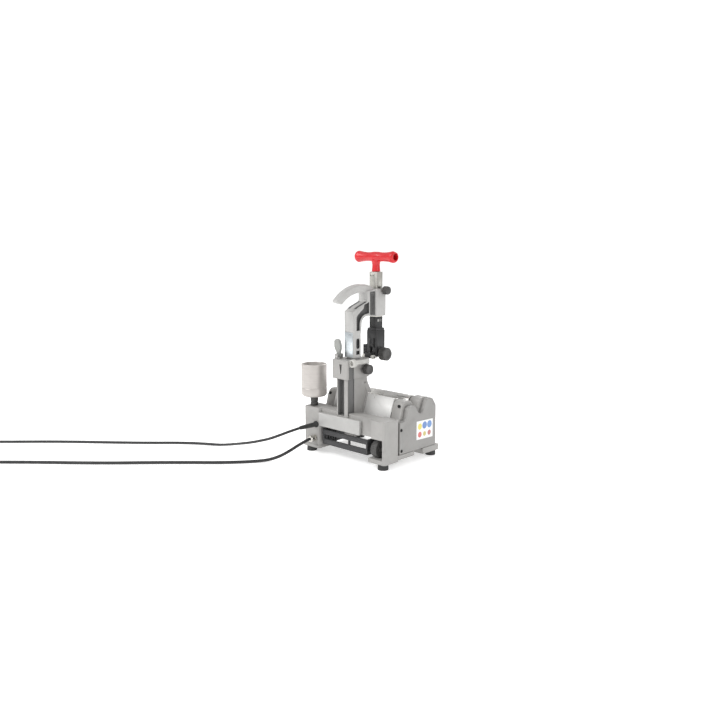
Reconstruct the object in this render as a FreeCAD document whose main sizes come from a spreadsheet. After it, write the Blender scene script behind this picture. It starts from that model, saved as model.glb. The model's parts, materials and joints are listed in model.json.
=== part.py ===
import FreeCAD, Part
import math
import os
import re

from FreeCAD import Vector, Placement, Rotation

os.makedirs("parts", exist_ok=True)
doc = FreeCAD.newDocument("pipe_machine")

# ---------------------------------------------------------------- dimensions (mm)
DIMS = dict(
    half_w=147, front_y=-104, tower_back=-53, foot_top=14, beam_top=125, beam_bot=77,
    left_in=-90, right_in=102, ledge_in=91, pocket_x=139, beam_face=-94, beam_back=-60,
    plate_right=60, plate_top=114, plate_thick=9.7,
    wall_in=104, wall_out=134, rear_y=101, cover_bot=30, cover_gap=0.3,
    roll_rad=19, roll_z=144, roll_front=-2, roll_rear=60, roll_half=98, shaft_rad=8,
    gear_rad=14.5, idler_rad=17.5, pinion_rad=10, idler_front=6, idler_rear=52, idler_z=113,
    motor_y=29, motor_z=97.92, motor_rad=29,
    foot_rad=14, foot_x=131, foot_front=-91, foot_rear=99,
    col_left=-27, col_right=13, col_front=-98, col_bot=114, col_top=214,
    head_left=-40, head_right=16, head_front=-102, head_back=-18, head_bot=214.3, head_top=264,
    leg_left=-20, leg_right=12, leg_front=-75, leg_back=-47, leg_bot=268,
    post_left=-16, post_right=8, post_front=-70, post_back=-52, post_bot=184,
    axis_x=-4, axis_y=28, block_half=19, block_bot=371, block_top=443,
    bar_half=12.5, bar_bot=368.3, bar_top=487, spindle_rad=6, grip_z=526, grip_half=69,
    barrel_x=24, barrel_z=257.5, barrel_rad=10.5,
    lock_y=-40, lock_z=237, lock_rad=13.2,
    lever_x=-31, lever_y=-85, lever_z=272,
    cup_x=-128, cup_y=-84, cup_bot=150.3, cup_top=240, cup_rad=34.5, neck_rad=10.5,
    wheel_y=-82, wheel_z=47, wheel_rad=21.5, wheel_left=97,
    cut_z=270, cut_rad=16, tool_bot=262, tool_top=332, tool_half=17.5,
    guide_y=4, guide_z=262, guide_rad=5.5,
    mains_x=-99, mains_z=80, lead_x=-105, lead_z=41, mains_rad=3.6, lead_rad=4.1,
    fit_gap=0.3, run_clear=0.05,
)
sheet = doc.addObject("Spreadsheet::Sheet", "dims")
for row, (word, value) in enumerate(DIMS.items(), start=1):
    sheet.set(f"A{row}", word)
    sheet.set(f"B{row}", str(value))
    sheet.setAlias(f"B{row}", word)
doc.recompute()


class Values:
    """The same plain numbers for the places that need them as points."""


d = Values()
d.__dict__.update(DIMS)
WORDS = re.compile(r"\b(" + "|".join(sorted(DIMS, key=len, reverse=True)) + r")\b")
nodes = []


def bind(thing, prop, text):
    """Ties a property to the sheet; text is a sum written with the sheet's words."""
    thing.setExpression(prop, WORDS.sub(r"dims.\1", str(text)))


def named(thing, label):
    thing.Label = label
    nodes.append(thing)
    return thing


# ---------------------------------------------------------------- small makers
def box(name, x0, x1, y0, y1, z0, z1):
    thing = doc.addObject("Part::Box", name)
    for prop, low, high in (("Length", x0, x1), ("Width", y0, y1), ("Height", z0, z1)):
        bind(thing, prop, f"({high}) - ({low})")
    for prop, low in (("x", x0), ("y", y0), ("z", z0)):
        bind(thing, ".Placement.Base." + prop, low)
    return thing


TURN = {"x": Rotation(Vector(0, 1, 0), 90), "y": Rotation(Vector(1, 0, 0), -90), "z": Rotation()}


def rod(name, along, x, y, z, rad, length):
    """Cylinder that starts at x, y, z and runs along +x, +y or +z."""
    thing = doc.addObject("Part::Cylinder", name)
    thing.Placement = Placement(Vector(), TURN[along])
    bind(thing, "Radius", rad)
    bind(thing, "Height", length)
    for prop, value in (("x", x), ("y", y), ("z", z)):
        bind(thing, ".Placement.Base." + prop, value)
    return thing


def fuse(name, things):
    result = doc.addObject("Part::MultiFuse", name)
    result.Shapes = things
    result.Refine = True
    return result


def cut(name, base, tools):
    tool = tools[0] if len(tools) == 1 else fuse(name + "_tools", tools)
    result = doc.addObject("Part::Cut", name)
    result.Base = base
    result.Tool = tool
    result.Refine = True
    return result


def rounded(name, base, radius, wanted):
    """Rounds the edges for which wanted(edge) holds; falls back to fewer edges if need be."""
    doc.recompute()
    picked = [n for n, edge in enumerate(base.Shape.Edges, start=1) if wanted(edge)]
    result = doc.addObject("Part::Fillet", name)
    result.Base = base
    for share in (1.0, 0.7, 0.45, 0.25):
        result.Edges = [(n, radius * share, radius * share) for n in picked]
        doc.recompute()
        if "Invalid" not in result.State and not result.Shape.isNull() and result.Shape.isValid():
            break
        print(f"{name}: radius {radius * share} doesn't fit")
    return result


def along(edge, axis):
    """True for a straight edge parallel to x, y or z."""
    if edge.Curve.TypeId != "Part::GeomLine":
        return False
    way = edge.Curve.Direction
    return abs(abs({"x": way.x, "y": way.y, "z": way.z}[axis]) - 1) < 1e-6


ROLE = {"XY": "XY_Plane", "XZ": "XZ_Plane", "YZ": "YZ_Plane"}


def new_body(name):
    return doc.addObject("PartDesign::Body", name)


def sketch_on(body, plane, name, offset=0.0, on_x=0.0):
    sketch = body.newObject("Sketcher::SketchObject", name)
    origin = [f for f in body.Origin.OriginFeatures if f.Role == ROLE[plane]][0]
    sketch.AttachmentSupport = [(origin, "")]
    sketch.MapMode = "FlatFace"
    sketch.AttachmentOffset = Placement(Vector(0, 0, offset), Rotation())
    return sketch


def outline(sketch, points):
    """Closed outline; a point is (u, v) or (u, v, bulge point) for an arc reaching it."""
    count = len(points)
    for n in range(count):
        here, there = points[n], points[(n + 1) % count]
        start, end = Vector(here[0], here[1], 0), Vector(there[0], there[1], 0)
        if len(there) == 3:
            mid = Vector(there[2][0], there[2][1], 0)
            sketch.addGeometry(Part.Arc(start, mid, end), False)
        else:
            sketch.addGeometry(Part.LineSegment(start, end), False)


def ring(sketch, u, v, radius):
    sketch.addGeometry(Part.Circle(Vector(u, v, 0), Vector(0, 0, 1), radius), False)


def pad(body, sketch, length, name, midplane=False, backwards=False):
    feature = body.newObject("PartDesign::Pad", name)
    feature.Profile = sketch
    feature.Midplane = midplane
    feature.Reversed = backwards
    bind(feature, "Length", length)
    sketch.Visibility = False
    body.Tip = feature
    doc.recompute()
    return feature


def pocket(body, sketch, length, name, backwards=False, midplane=False):
    before = body.Shape.Volume
    feature = body.newObject("PartDesign::Pocket", name)
    feature.Profile = sketch
    feature.Midplane = midplane
    feature.Reversed = backwards
    bind(feature, "Length", length)
    body.Tip = feature
    doc.recompute()
    if not body.Shape.Volume < before - 1e-3:
        feature.Reversed = not backwards
        doc.recompute()
    assert body.Shape.Volume < before - 1e-3, name
    return feature


def turned(name, points, place, rib=None):
    """Body of revolution; points are (radius, height), turned about its own z, then placed."""
    body = new_body(name)
    sketch = sketch_on(body, "XZ", name + "_half")
    outline(sketch, points)
    feature = body.newObject("PartDesign::Revolution", name + "_turn")
    feature.Profile = sketch
    feature.ReferenceAxis = (sketch, ["V_Axis"])
    feature.Angle = 360
    body.Tip = feature
    body.Placement = place
    doc.recompute()
    return body


def knurl(body, radius, low, high, count, depth=0.8):
    """Grips on a turned knob: one round groove cut into its rim and repeated round it."""
    sketch = sketch_on(body, "XY", body.Name + "_groove", offset=low)
    ring(sketch, radius + depth * 0.6, 0, depth * 1.6)
    one = pocket(body, sketch, high - low, body.Name + "_cut", backwards=True)
    pattern = body.newObject("PartDesign::PolarPattern", body.Name + "_grips")
    pattern.Originals = [one]
    pattern.Axis = ([f for f in body.Origin.OriginFeatures if f.Role == "Z_Axis"][0], [""])
    pattern.Angle = 360
    pattern.Occurrences = count
    body.Tip = pattern
    doc.recompute()
    return body


def side_body(name, points, x_low, length):
    """Outline in (y, z) carried along x from x_low."""
    body = new_body(name)
    sketch = sketch_on(body, "YZ", name + "_side")
    outline(sketch, points)
    pad(body, sketch, length, name + "_pad")
    body.Placement = Placement(Vector(x_low, 0, 0), Rotation())
    doc.recompute()
    return body


def place_x(x, y, z):
    """Own z axis turned to run along +x."""
    return Placement(Vector(x, y, z), TURN["x"])


def place_y(x, y, z):
    return Placement(Vector(x, y, z), TURN["y"])


def soft(corners):
    """Outline from corners (u, v, radius): each corner becomes an arc that touches both sides."""
    points = []
    count = len(corners)
    for n, (u, v, radius) in enumerate(corners):
        before, here, after = Vector(*corners[n - 1][:2], 0), Vector(u, v, 0), Vector(*corners[(n + 1) % count][:2], 0)
        if not radius:
            points.append((u, v))
            continue
        back, onward = (before - here).normalize(), (after - here).normalize()
        half = back.getAngle(onward) / 2
        reach = radius / math.tan(half)
        first, last = here + back * reach, here + onward * reach
        inward = (back + onward).normalize()
        middle = here + inward * (radius / math.sin(half) - radius)
        points += [(first.x, first.y), (last.x, last.y, (middle.x, middle.y))]
    return points


# ---------------------------------------------------------------- side walls and covers
# front slope, front hump, valley for the pipe, rear hump, back
hump_top = d.roll_z + d.roll_rad - 0.5
wall_side = soft([
    (-34, 28, 0), (-34, 112, 0), (d.roll_front - 18.5, hump_top, 16), (d.roll_front + 16, hump_top, 15),
    (22, 133, 5), (38, 133, 5), (d.roll_rear - 14, hump_top, 14), (80, hump_top, 14), (d.rear_y, 141, 12),
    (d.rear_y, 28, 0)])
cover_side = soft([
    (-45.5, 30.3, 2), (-45.5, 114, 3), (-22, 115, 8), (-14, 150, 11), (12, 151, 12), (32, 126, 8),
    (45, 126, 8), (60, 161, 13), (85, 161, 13), (d.rear_y, 139, 12), (d.rear_y, 30.3, 2)])
wall_right = side_body("wall_right", wall_side, d.wall_in, "wall_out - wall_in")
wall_left = side_body("wall_left", wall_side, -d.wall_out, "wall_out - wall_in")

# gear room inside the right wall, with a lower door in its outer skin that the right cover closes
gear_room = side_body("gear_room", [
    (-17.5, 92), (-17.5, 150), (-2, 160.5, (-13, 157)), (13, 151, (8, 157)), (21, 130.5), (37, 130.5),
    (45, 151), (60, 160.5, (50, 157)), (76, 150, (72, 157)), (76, 80), (45, 72), (12, 72),
], d.wall_in + 10, "wall_out - wall_in - 13")
gear_door = side_body("gear_door", [
    (-11, 84), (-11, 143), (9, 143), (30, 119), (46, 119), (59, 146), (76, 146), (76, 80), (45, 72), (12, 72),
], d.wall_out - 3.5, "4.5")
left_room = side_body("left_room", [
    (-17, 60), (-17, 125), (20, 125), (20, 118), (40, 118), (40, 125), (76, 125), (76, 60)],
    -d.wall_out - 1, "wall_out - wall_in - 12 + 1")

# ---------------------------------------------------------------- base casting
parts_of_base = [
    box("tower_left", "-half_w", "left_in", "front_y", "tower_back", "foot_top", "beam_top"),
    box("tower_right", "right_in", "half_w", "front_y", "tower_back", "beam_bot", "beam_top"),
    box("pocket_wall", "pocket_x", "half_w", "front_y", "tower_back", "foot_top", "beam_bot + 1"),
    box("pocket_back", "ledge_in", "half_w", "tower_back - 7", "tower_back", "foot_top", "beam_bot + 1"),
    box("pocket_ledge", "ledge_in", "half_w", "front_y", "tower_back", "foot_top", "foot_top + 11"),
    box("front_beam", "left_in - 1", "right_in + 1", "beam_face", "beam_back", "beam_bot", "beam_top"),
    box("deck", "-wall_out", "wall_out", "beam_back - 1", "-34", "104", "col_bot - fit_gap"),
    box("rear_wall", "-wall_in - 1", "wall_in + 1", "rear_y - 9", "rear_y", "62", "130"),
    box("rear_beam", "-wall_out", "wall_out", "rear_y - 1", "rear_y + 12", "26", "50"),
    box("left_rib", "-110", "-100", "tower_back - 1", "-33", "foot_top + 16", "108"),
    box("right_rib", "104", "114", "tower_back - 1", "-33", "foot_top + 16", "108"),
    box("rail_right", "126", "half_w", "tower_back - 1", "12", "18", "29.7"),
    box("rail_left", "-half_w", "-126", "tower_back - 1", "12", "18", "29.7"),
    box("lip_left", "-half_w - 1.5", "left_in + 1", "front_y - 1.5", "tower_back - 1", "foot_top", "foot_top + 8"),
    box("lug_right", "wall_in", "half_w", "47", "rear_y + 12", "foot_top", "29.7"),
    box("lug_left", "-half_w", "-wall_in", "47", "rear_y + 12", "foot_top", "29.7"),
    box("motor_shelf", "-60", "72", "8", "50", "62", "67.5"),
    box("shelf_back", "-50", "62", "49", "rear_y - 1", "62", "67.5"),
    wall_right, wall_left,
]
base_solid = fuse("base_solid", parts_of_base)
openings = [
    gear_room, gear_door, left_room,
    box("column_seat", "col_left - fit_gap", "col_right + fit_gap", "col_front - fit_gap", "-33",
        "col_bot - fit_gap", "beam_top + 1"),
    box("tower_left_hollow", "-half_w + 8", "left_in - 9", "front_y + 9", "tower_back - 6",
        "foot_top - 1", "beam_top - 12"),
]
for label, x0 in (("bore_right", d.wall_in - 1), ("bore_left", -d.wall_in - 12)):
    for side, y in (("front", "roll_front"), ("rear", "roll_rear")):
        openings.append(rod(f"{label}_{side}", "x", x0, y, "roll_z", 13.3, 13))
openings += [
    rod("pinion_way", "x", "wall_in - 1", "motor_y", "motor_z", 11.5, 13),
    rod("wheel_socket", "x", "pocket_x - 1", "wheel_y", "wheel_z", "5 + run_clear", 6),
    rod("stud_front", "x", "wall_in + 4", "idler_front", "idler_z", "5 + fit_gap", 8),
    rod("stud_rear", "x", "wall_in + 4", "idler_rear", "idler_z", "5 + fit_gap", 8),
    rod("mains_way", "y", "mains_x", "front_y - 1", "mains_z", "6.3", 12),
    rod("lead_way", "y", "lead_x", "front_y - 1", "lead_z", "6.3", 12),
    rod("neck_way", "z", "cup_x", "cup_y", "beam_top - 6", "6.3", 8),
]
base_raw = cut("base_raw", base_solid, openings)


def tower_edge(edge):
    box_of = edge.BoundBox
    if along(edge, "z") and box_of.ZLength > 60:
        for x, y, tol in ((-147, -104, 1), (147, -104, 1), (-147, -53, 1)):
            if abs(box_of.XMin - x) < tol and abs(box_of.YMin - y) < tol:
                return True
    return False


base_round = rounded("base_round", base_raw, 6.0, tower_edge)


def top_edge(edge):
    box_of = edge.BoundBox
    if abs(box_of.ZMin - d.beam_top) > 0.01 or abs(box_of.ZMax - d.beam_top) > 0.01:
        return False
    return box_of.YMax < d.tower_back + 1 and box_of.YMin < d.front_y + 4 and box_of.XLength > 20


named(rounded("base_top_round", base_round, 2.0, top_edge), "base_casting")

# ---------------------------------------------------------------- front plate, bottom frame
front_plate = rounded("front_plate_round",
                      box("front_plate_raw", "left_in + fit_gap", "plate_right", "front_y",
                          "front_y + plate_thick", "beam_bot", "plate_top"),
                      1.6, lambda e: e.BoundBox.YMax < d.front_y + 0.1 and e.BoundBox.XMax > -85)
named(front_plate, "front_plate")

frame_bars = [
    box("frame_low", "-82", "83", "-98", "-93", "28", "43"),
    box("frame_high", "-82", "83", "-98", "-93", "55", "68"),
    box("frame_post", "14", "19", "-98", "-93", "42", "56"),
    box("frame_left", "-82", "-76", "-98", "-20", "28", "68"),
    box("frame_right", "78", "83", "-98", "-20", "28", "68"),
    box("frame_tie", "-82", "83", "-25", "-20", "58", "68"),
]
bottom_frame = fuse("bottom_frame_solid", frame_bars)
ribs = [box(f"frame_rib_{n}", "-76.2", "-72", f"{-92 + 9 * n}", f"{-88 + 9 * n}", "28", "68") for n in range(5)]
named(fuse("bottom_frame_all", [bottom_frame] + ribs), "bottom_frame")

# ---------------------------------------------------------------- side covers
right_cover = side_body("right_cover_body", cover_side, d.wall_out + d.cover_gap, "half_w - wall_out - cover_gap")
inner_lip = sketch_on(right_cover, "YZ", "right_cover_relief")
outline(inner_lip, [(-38, 38), (-38, 104), (-14, 107), (-6, 119), (40, 119), (92, 120), (92, 38)])
pocket(right_cover, inner_lip, 6, "right_cover_hollow", backwards=True)
left_cover = side_body("left_cover_body", cover_side, -d.half_w, "half_w - wall_out - cover_gap")


def outer_rim(x):
    return lambda e: abs(e.BoundBox.XMin - x) < 0.01 and abs(e.BoundBox.XMax - x) < 0.01


right_rim = rounded("right_cover_round", right_cover, 2.2, outer_rim(d.half_w))
left_rim = rounded("left_cover_round", left_cover, 2.2, outer_rim(-d.half_w))

SCREWS = ((-40, 94), (-38.5, 39.5))
holes = [rod(f"cover_hole_r{n}", "x", "half_w - 3", y, z, 4.4, 4) for n, (y, z) in enumerate(SCREWS)]
named(cut("right_cover_done", right_rim, holes), "right_cover")
holes = [rod(f"cover_hole_l{n}", "x", "-half_w - 1", y, z, 4.4, 4) for n, (y, z) in enumerate(SCREWS)]
named(cut("left_cover_done", left_rim, holes), "left_cover")


def socket_screw(name, place):
    """Cap head with a six-sided socket, its under side at the origin of place."""
    body = turned(name, [(0, 0), (4.1, 0), (4.1, 3.1), (3.7, 3.5), (0, 3.5)], place)
    sketch = sketch_on(body, "XY", name + "_hex", offset=3.5)
    outline(sketch, [(2.0 * math.cos(math.radians(60 * n)), 2.0 * math.sin(math.radians(60 * n)))
                     for n in range(6)])
    pocket(body, sketch, 2, name + "_socket")
    return body


screws = []
for n, (y, z) in enumerate(SCREWS):
    screws.append(socket_screw(f"screw_right_{n}", place_x(d.half_w - 2.7, y, z)))
    screws.append(socket_screw(f"screw_left_{n}",
                               Placement(Vector(-d.half_w + 2.7, y, z), Rotation(Vector(0, 1, 0), -90))))
slope = Rotation(Vector(1, 0, 0), 75)
screws.append(socket_screw("screw_wall_right", Placement(Vector(126, -23.86, 150.22), slope)))
screws.append(socket_screw("screw_wall_left", Placement(Vector(-126, -23.86, 150.22), slope)))
named(doc.addObject("Part::Compound", "cover_screws_all"), "cover_screws").Links = screws

# plain sticker in the place of the printed one
label = side_body("plain_label_body", [(20, 57), (20, 106), (87, 104), (87, 55)], d.half_w + 0.05, "0.4")
named(label, "plain_label")

# ---------------------------------------------------------------- rubber feet
feet = []
for n, (x, y) in enumerate(((-d.foot_x, d.foot_front), (d.foot_x, d.foot_front),
                            (-d.foot_x, d.foot_rear), (d.foot_x, d.foot_rear))):
    feet.append(turned(f"foot_{n}", [
        (0, 0), (d.foot_rad - 1.5, 0), (d.foot_rad, 1.5, (d.foot_rad - 0.45, 0.45)),
        (d.foot_rad - 0.6, d.foot_top - 0.3), (0, d.foot_top - 0.3)],
        Placement(Vector(x, y, 0), Rotation())))
named(doc.addObject("Part::Compound", "feet_all"), "rubber_feet").Links = feet

# ---------------------------------------------------------------- pipe bed
bed_len = 2 * (d.wall_in - 0.6)
chute = side_body("chute_body", [
    (-38, 114), (-20, 168.5), (-17.2, 167.6), (-33.2, 119), (-31.5, 114)], -d.wall_in + 0.6, str(bed_len))
notch = box("chute_notch", "36", "39", "-40", "-10", "160", "170")
named(cut("chute_done", chute, [notch]), "chute_plate")


def drive_roller(name, y, rings_from, rings_to):
    half, rad, shaft = d.roll_half, d.roll_rad, d.shaft_rad
    left_end, right_end = -half - 17, d.wall_out - 4.5
    body = turned(name, [
        (0, left_end), (shaft, left_end), (shaft, -half), (rad - 1.5, -half), (rad, -half + 1.5),
        (rad, half - 1.5), (rad - 1.5, half), (shaft, half), (shaft, right_end), (0, right_end)],
        place_x(0, y, d.roll_z))
    groove = sketch_on(body, "XY", name + "_flute", offset=rings_from)
    ring(groove, rad + 0.4, 0, 1.4)
    one = pocket(body, groove, rings_to - rings_from, name + "_flute_cut", backwards=True)
    many = body.newObject("PartDesign::PolarPattern", name + "_flutes")
    many.Originals = [one]
    many.Axis = ([f for f in body.Origin.OriginFeatures if f.Role == "Z_Axis"][0], [""])
    many.Angle = 360
    many.Occurrences = 30
    body.Tip = many
    doc.recompute()
    return named(body, name)


drive_roller("front_drive_roller", d.roll_front, -60, 10)
drive_roller("rear_drive_roller", d.roll_rear, -60, 10)

bearings = []
for n, (x, y) in enumerate(((d.wall_in - 0.6, d.roll_front), (d.wall_in - 0.6, d.roll_rear),
                            (-d.wall_in - 9.4, d.roll_front), (-d.wall_in - 9.4, d.roll_rear))):
    bearings.append(turned(f"bearing_{n}", [
        (d.shaft_rad + d.run_clear, 0), (13, 0), (13, 10), (d.shaft_rad + d.run_clear, 10)],
        place_x(x, y, d.roll_z)))
named(doc.addObject("Part::Compound", "bearings_all"), "roller_bearings").Links = bearings


# ---------------------------------------------------------------- gear train
def gear(name, place, pitch, width, bore, teeth, start=0.0):
    """Spur wheel: round blank with one tooth gap cut and repeated."""
    body = turned(name, [(bore, 0), (pitch + 0.7, 0), (pitch + 0.7, width), (bore, width)], place)
    sketch = sketch_on(body, "XY", name + "_gap", offset=0)
    half = math.pi * pitch / teeth / 2
    turn = math.radians(start)

    def at(radius, side):
        angle = turn + side / radius
        return (radius * math.cos(angle), radius * math.sin(angle))

    outline(sketch, [at(pitch - 1.1, -half * 0.75), at(pitch + 1.2, -half * 1.35),
                     at(pitch + 1.2, half * 1.35), at(pitch - 1.1, half * 0.75)])
    one = pocket(body, sketch, str(width), name + "_gap_cut", backwards=True)
    many = body.newObject("PartDesign::PolarPattern", name + "_teeth")
    many.Originals = [one]
    many.Axis = ([f for f in body.Origin.OriginFeatures if f.Role == "Z_Axis"][0], [""])
    many.Angle = 360
    many.Occurrences = teeth
    body.Tip = many
    doc.recompute()
    return named(body, name)


GEAR_X = d.wall_in + 15
TRAIN = [  # each wheel meshes with the one before it: y, z, pitch radius, bore radius, teeth
    ("front_gear", d.roll_front, d.roll_z, d.gear_rad, d.shaft_rad + 0.3, 29),
    ("front_idler", d.idler_front, d.idler_z, d.idler_rad, 5 + d.run_clear, 35),
    ("motor_pinion", d.motor_y, d.motor_z, d.pinion_rad, 5.3, 20),
    ("rear_idler", d.idler_rear, d.idler_z, d.idler_rad, 5 + d.run_clear, 35),
    ("rear_gear", d.roll_rear, d.roll_z, d.gear_rad, d.shaft_rad + 0.3, 29),
]
start, last = 0.0, None
for name, y, z, pitch, bore, teeth in TRAIN:
    if last:
        toward = math.degrees(math.atan2(y - last[0], last[1] - z))
        phase = (start - toward) * last[2] / 360
        start = toward + 180 + (0.5 - phase) * 360 / teeth
    gear(name, place_x(GEAR_X, y, z), pitch - 0.35, 9, bore, teeth, start)
    last = (y, z, teeth)

studs = []
for n, y in enumerate((d.idler_front, d.idler_rear)):
    studs.append(turned(f"stud_{n}", [(0, 0), (5, 0), (5, 18.5), (8, 18.5), (8, 21), (0, 21)],
                        place_x(d.wall_in + 6, y, d.idler_z)))
named(doc.addObject("Part::Compound", "studs_all"), "idler_studs").Links = studs

# ---------------------------------------------------------------- motor
motor_place = place_x(-52, d.motor_y, d.motor_z)
motor = turned("motor_body", [
    (6, 0), (d.motor_rad - 6, 0), (d.motor_rad, 6, (d.motor_rad - 1.76, 1.76)), (d.motor_rad, 128),
    (d.motor_rad - 4, 132), (5 + d.run_clear, 132), (5 + d.run_clear, 126), (22, 126), (22, 8), (6, 8)],
    motor_place)
named(motor, "motor_housing")
named(turned("motor_rotor_body", [
    (0, 1), (6 - d.run_clear, 1), (6 - d.run_clear, 14), (19, 14), (19, 118), (5, 118), (5, 184), (0, 184)],
    motor_place), "motor_rotor")

# ---------------------------------------------------------------- upright column
column = side_body("column_body", [
    (d.col_front, d.col_bot), (d.col_front, d.col_top), (-25, d.col_top), (-22, 200), (-8, 174),
    (-8, 170.6), (-20.8, 170.6), (-39.3, d.col_bot)], d.col_left, "col_right - col_left")
bore = [
    box("post_way", "post_left - fit_gap", "post_right + fit_gap", "post_front - fit_gap", "post_back + fit_gap",
        "col_bot + 8", "col_top + 1"),
    box("front_slot", "-22.5", "1", "col_front - 1", "col_front + 14", "col_bot + 3", "col_top + 1"),
    box("side_slot", "col_right - 3.5", "col_right + 1", "-96", "-73", "col_bot + 3", "col_top + 1"),
    box("side_slot_left", "col_left - 1", "col_left + 3", "-96", "-73", "col_bot + 3", "col_top + 1"),
]
web = side_body("column_web", [(-55, 118), (-43, 118), (-24, 175), (-30, 186), (-44, 150)],
                d.col_right - 2.5, "4")
web_left = side_body("column_web_left", [(-55, 118), (-43, 118), (-24, 175), (-30, 186), (-44, 150)],
                     d.col_left - 1.5, "4")
column_cut = cut("column_cut", column, bore + [web, web_left, rod("column_eye", "x", "col_right - 4", -32, 199, 2.6, 5)])
named(rounded("column_round", column_cut, 1.5, lambda e: along(e, "z")
              and e.BoundBox.ZLength > 99 and e.BoundBox.YMax < -97.9), "upright_column")

# ---------------------------------------------------------------- clamp head
head_box = rounded("head_box_round", box("head_box", "head_left", "head_right", "head_front", "head_back",
                                         "head_bot", "head_top"), 4,
                   lambda e: along(e, "z"))
ears = []
for n, y in enumerate((-96, -78.5)):
    ear = side_body(f"ear_{n}", [(y, d.head_top - 1), (y, d.lever_z + 5), (y + 4.5, d.lever_z + 5),
                                 (y + 4.5, d.head_top - 1)], d.lever_x - 5, "10")
    ears.append(ear)
head_fused = fuse("head_fused", [head_box] + ears)
v_notch = new_body("v_notch")
v_sketch = sketch_on(v_notch, "XZ", "v_notch_outline")
outline(v_sketch, [(-13, 253), (-3, 253), (-7, 228), (-9, 228)])
pad(v_notch, v_sketch, 10, "v_notch_pad", midplane=True)
v_notch.Placement = Placement(Vector(0, d.head_front, 0), Rotation())
head_cut = cut("clamp_head_done", head_fused, [
    box("leg_way", "leg_left - fit_gap", "leg_right + fit_gap", "leg_front - fit_gap", "leg_back + fit_gap",
        "head_bot - 1", "head_top + 1"),
    box("strip_way", "leg_left + 0.9", "leg_right - 0.9", "leg_front - 2.4", "leg_front", "head_bot - 1",
        "head_top + 1"),
    rod("barrel_way", "y", "barrel_x", -94.3, "barrel_z", "barrel_rad + fit_gap", 12.6),
    box("head_side_slot", "head_right - 3.5", "head_right + 1", "-96", "-77", "head_bot - 1", "barrel_z - 11"),
    rod("lock_way", "x", "leg_right - 1", "lock_y", "lock_z", "4 + run_clear", 10),
    rod("pin_way", "y", "lever_x", -97, "lever_z", "2.5 + fit_gap", 24),
    v_notch,
])
named(head_cut, "clamp_head")

barrel = turned("barrel_body", [
    (0, 7), (6.4, 7), (6.4, 0), (d.barrel_rad - 1, 0), (d.barrel_rad, 1), (d.barrel_rad, 11),
    (d.barrel_rad - 1, 12), (6.5, 12), (6.5, 61), (5.5, 62), (0, 62)], place_y(d.barrel_x, -94, d.barrel_z))
named(barrel, "pinch_barrel")

pin = rod("lever_pin_rod", "y", "lever_x", -96, "lever_z", 2.5, 22)
named(pin, "lever_pin")
lever = new_body("clamp_lever_body")
lever_sketch = sketch_on(lever, "XZ", "lever_outline")
outline(lever_sketch, [
    (-4.6, -1.5, (0, -5.6)), (-4.2, 8), (-9, 17), (-11, 24), (-9.5, 38), (9.5, 38, (0, 44)), (12, 24),
    (9, 14), (4.6, 6), (4.6, -1.5)])
pad(lever, lever_sketch, 9, "lever_pad", midplane=True)
lever_hole = sketch_on(lever, "XZ", "lever_eye")
ring(lever_hole, 0, 0, 2.5 + d.run_clear)
pocket(lever, lever_hole, 12, "lever_bore", midplane=True)
lever.Placement = Placement(Vector(d.lever_x, d.lever_y + 0.25, d.lever_z), Rotation(Vector(0, 1, 0), -8))
named(rounded("clamp_lever_round", lever, 2.0, lambda e: abs(e.BoundBox.YLength) < 0.01
              and e.BoundBox.ZMax > d.lever_z + 9), "clamp_lever")

lock = turned("column_lock_body", [
    (0, -4.5), (4, -4.5), (4, 4), (7, 4), (7, 6), (d.lock_rad - 1, 6), (d.lock_rad, 7), (d.lock_rad, 22),
    (d.lock_rad - 1.2, 23.2), (9, 23.2), (8, 22), (0, 22)], place_x(d.head_right, d.lock_y, d.lock_z))
knurl(lock, d.lock_rad, 7, 22, 20, depth=1.1)
named(lock, "column_lock_knob")

# ---------------------------------------------------------------- arm with its carrying handle
arm_side = [
    (d.leg_front, d.leg_bot), (d.leg_front, 388), (-56, 399), (-29, 409), (-22, 418, (-24, 412)), (-22, 438),
    (9, 442), (20, 442), (20, 371), (8, 374), (-24, 374), (-44, 350, (-38, 368)), (d.leg_back, 330),
    (d.leg_back, d.leg_bot)]
arm = side_body("arm_web", arm_side, d.leg_left, "leg_right - leg_left")
for n, (points, depth) in enumerate((
        ([(-12.5, 370), (-12.5, 437), (8, 437), (8, 370)], 9),
        ([(-63, 338), (-63, 368), (-53, 383, (-60, 377)), (-37, 394), (-34, 404), (-15.5, 410), (-15.5, 380.5),
          (-30, 379), (-51, 354, (-45, 370)), (-51, 338)], 8),
        ([(-64, 297, (-58, 291)), (-64, 312), (-52, 312, (-58, 318)), (-52, 297)], 6),
        ([(-64, 276), (-64, 286), (-52, 286), (-52, 276)], 6))):
    for side, offset, back in (("r", d.leg_right - d.leg_left, False), ("l", 0.0, True)):
        sketch = sketch_on(arm, "YZ", f"arm_pocket_{n}_{side}", offset=offset)
        outline(sketch, points)
        pocket(arm, sketch, depth, f"arm_pocket_{n}_{side}_cut", backwards=back)

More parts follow.
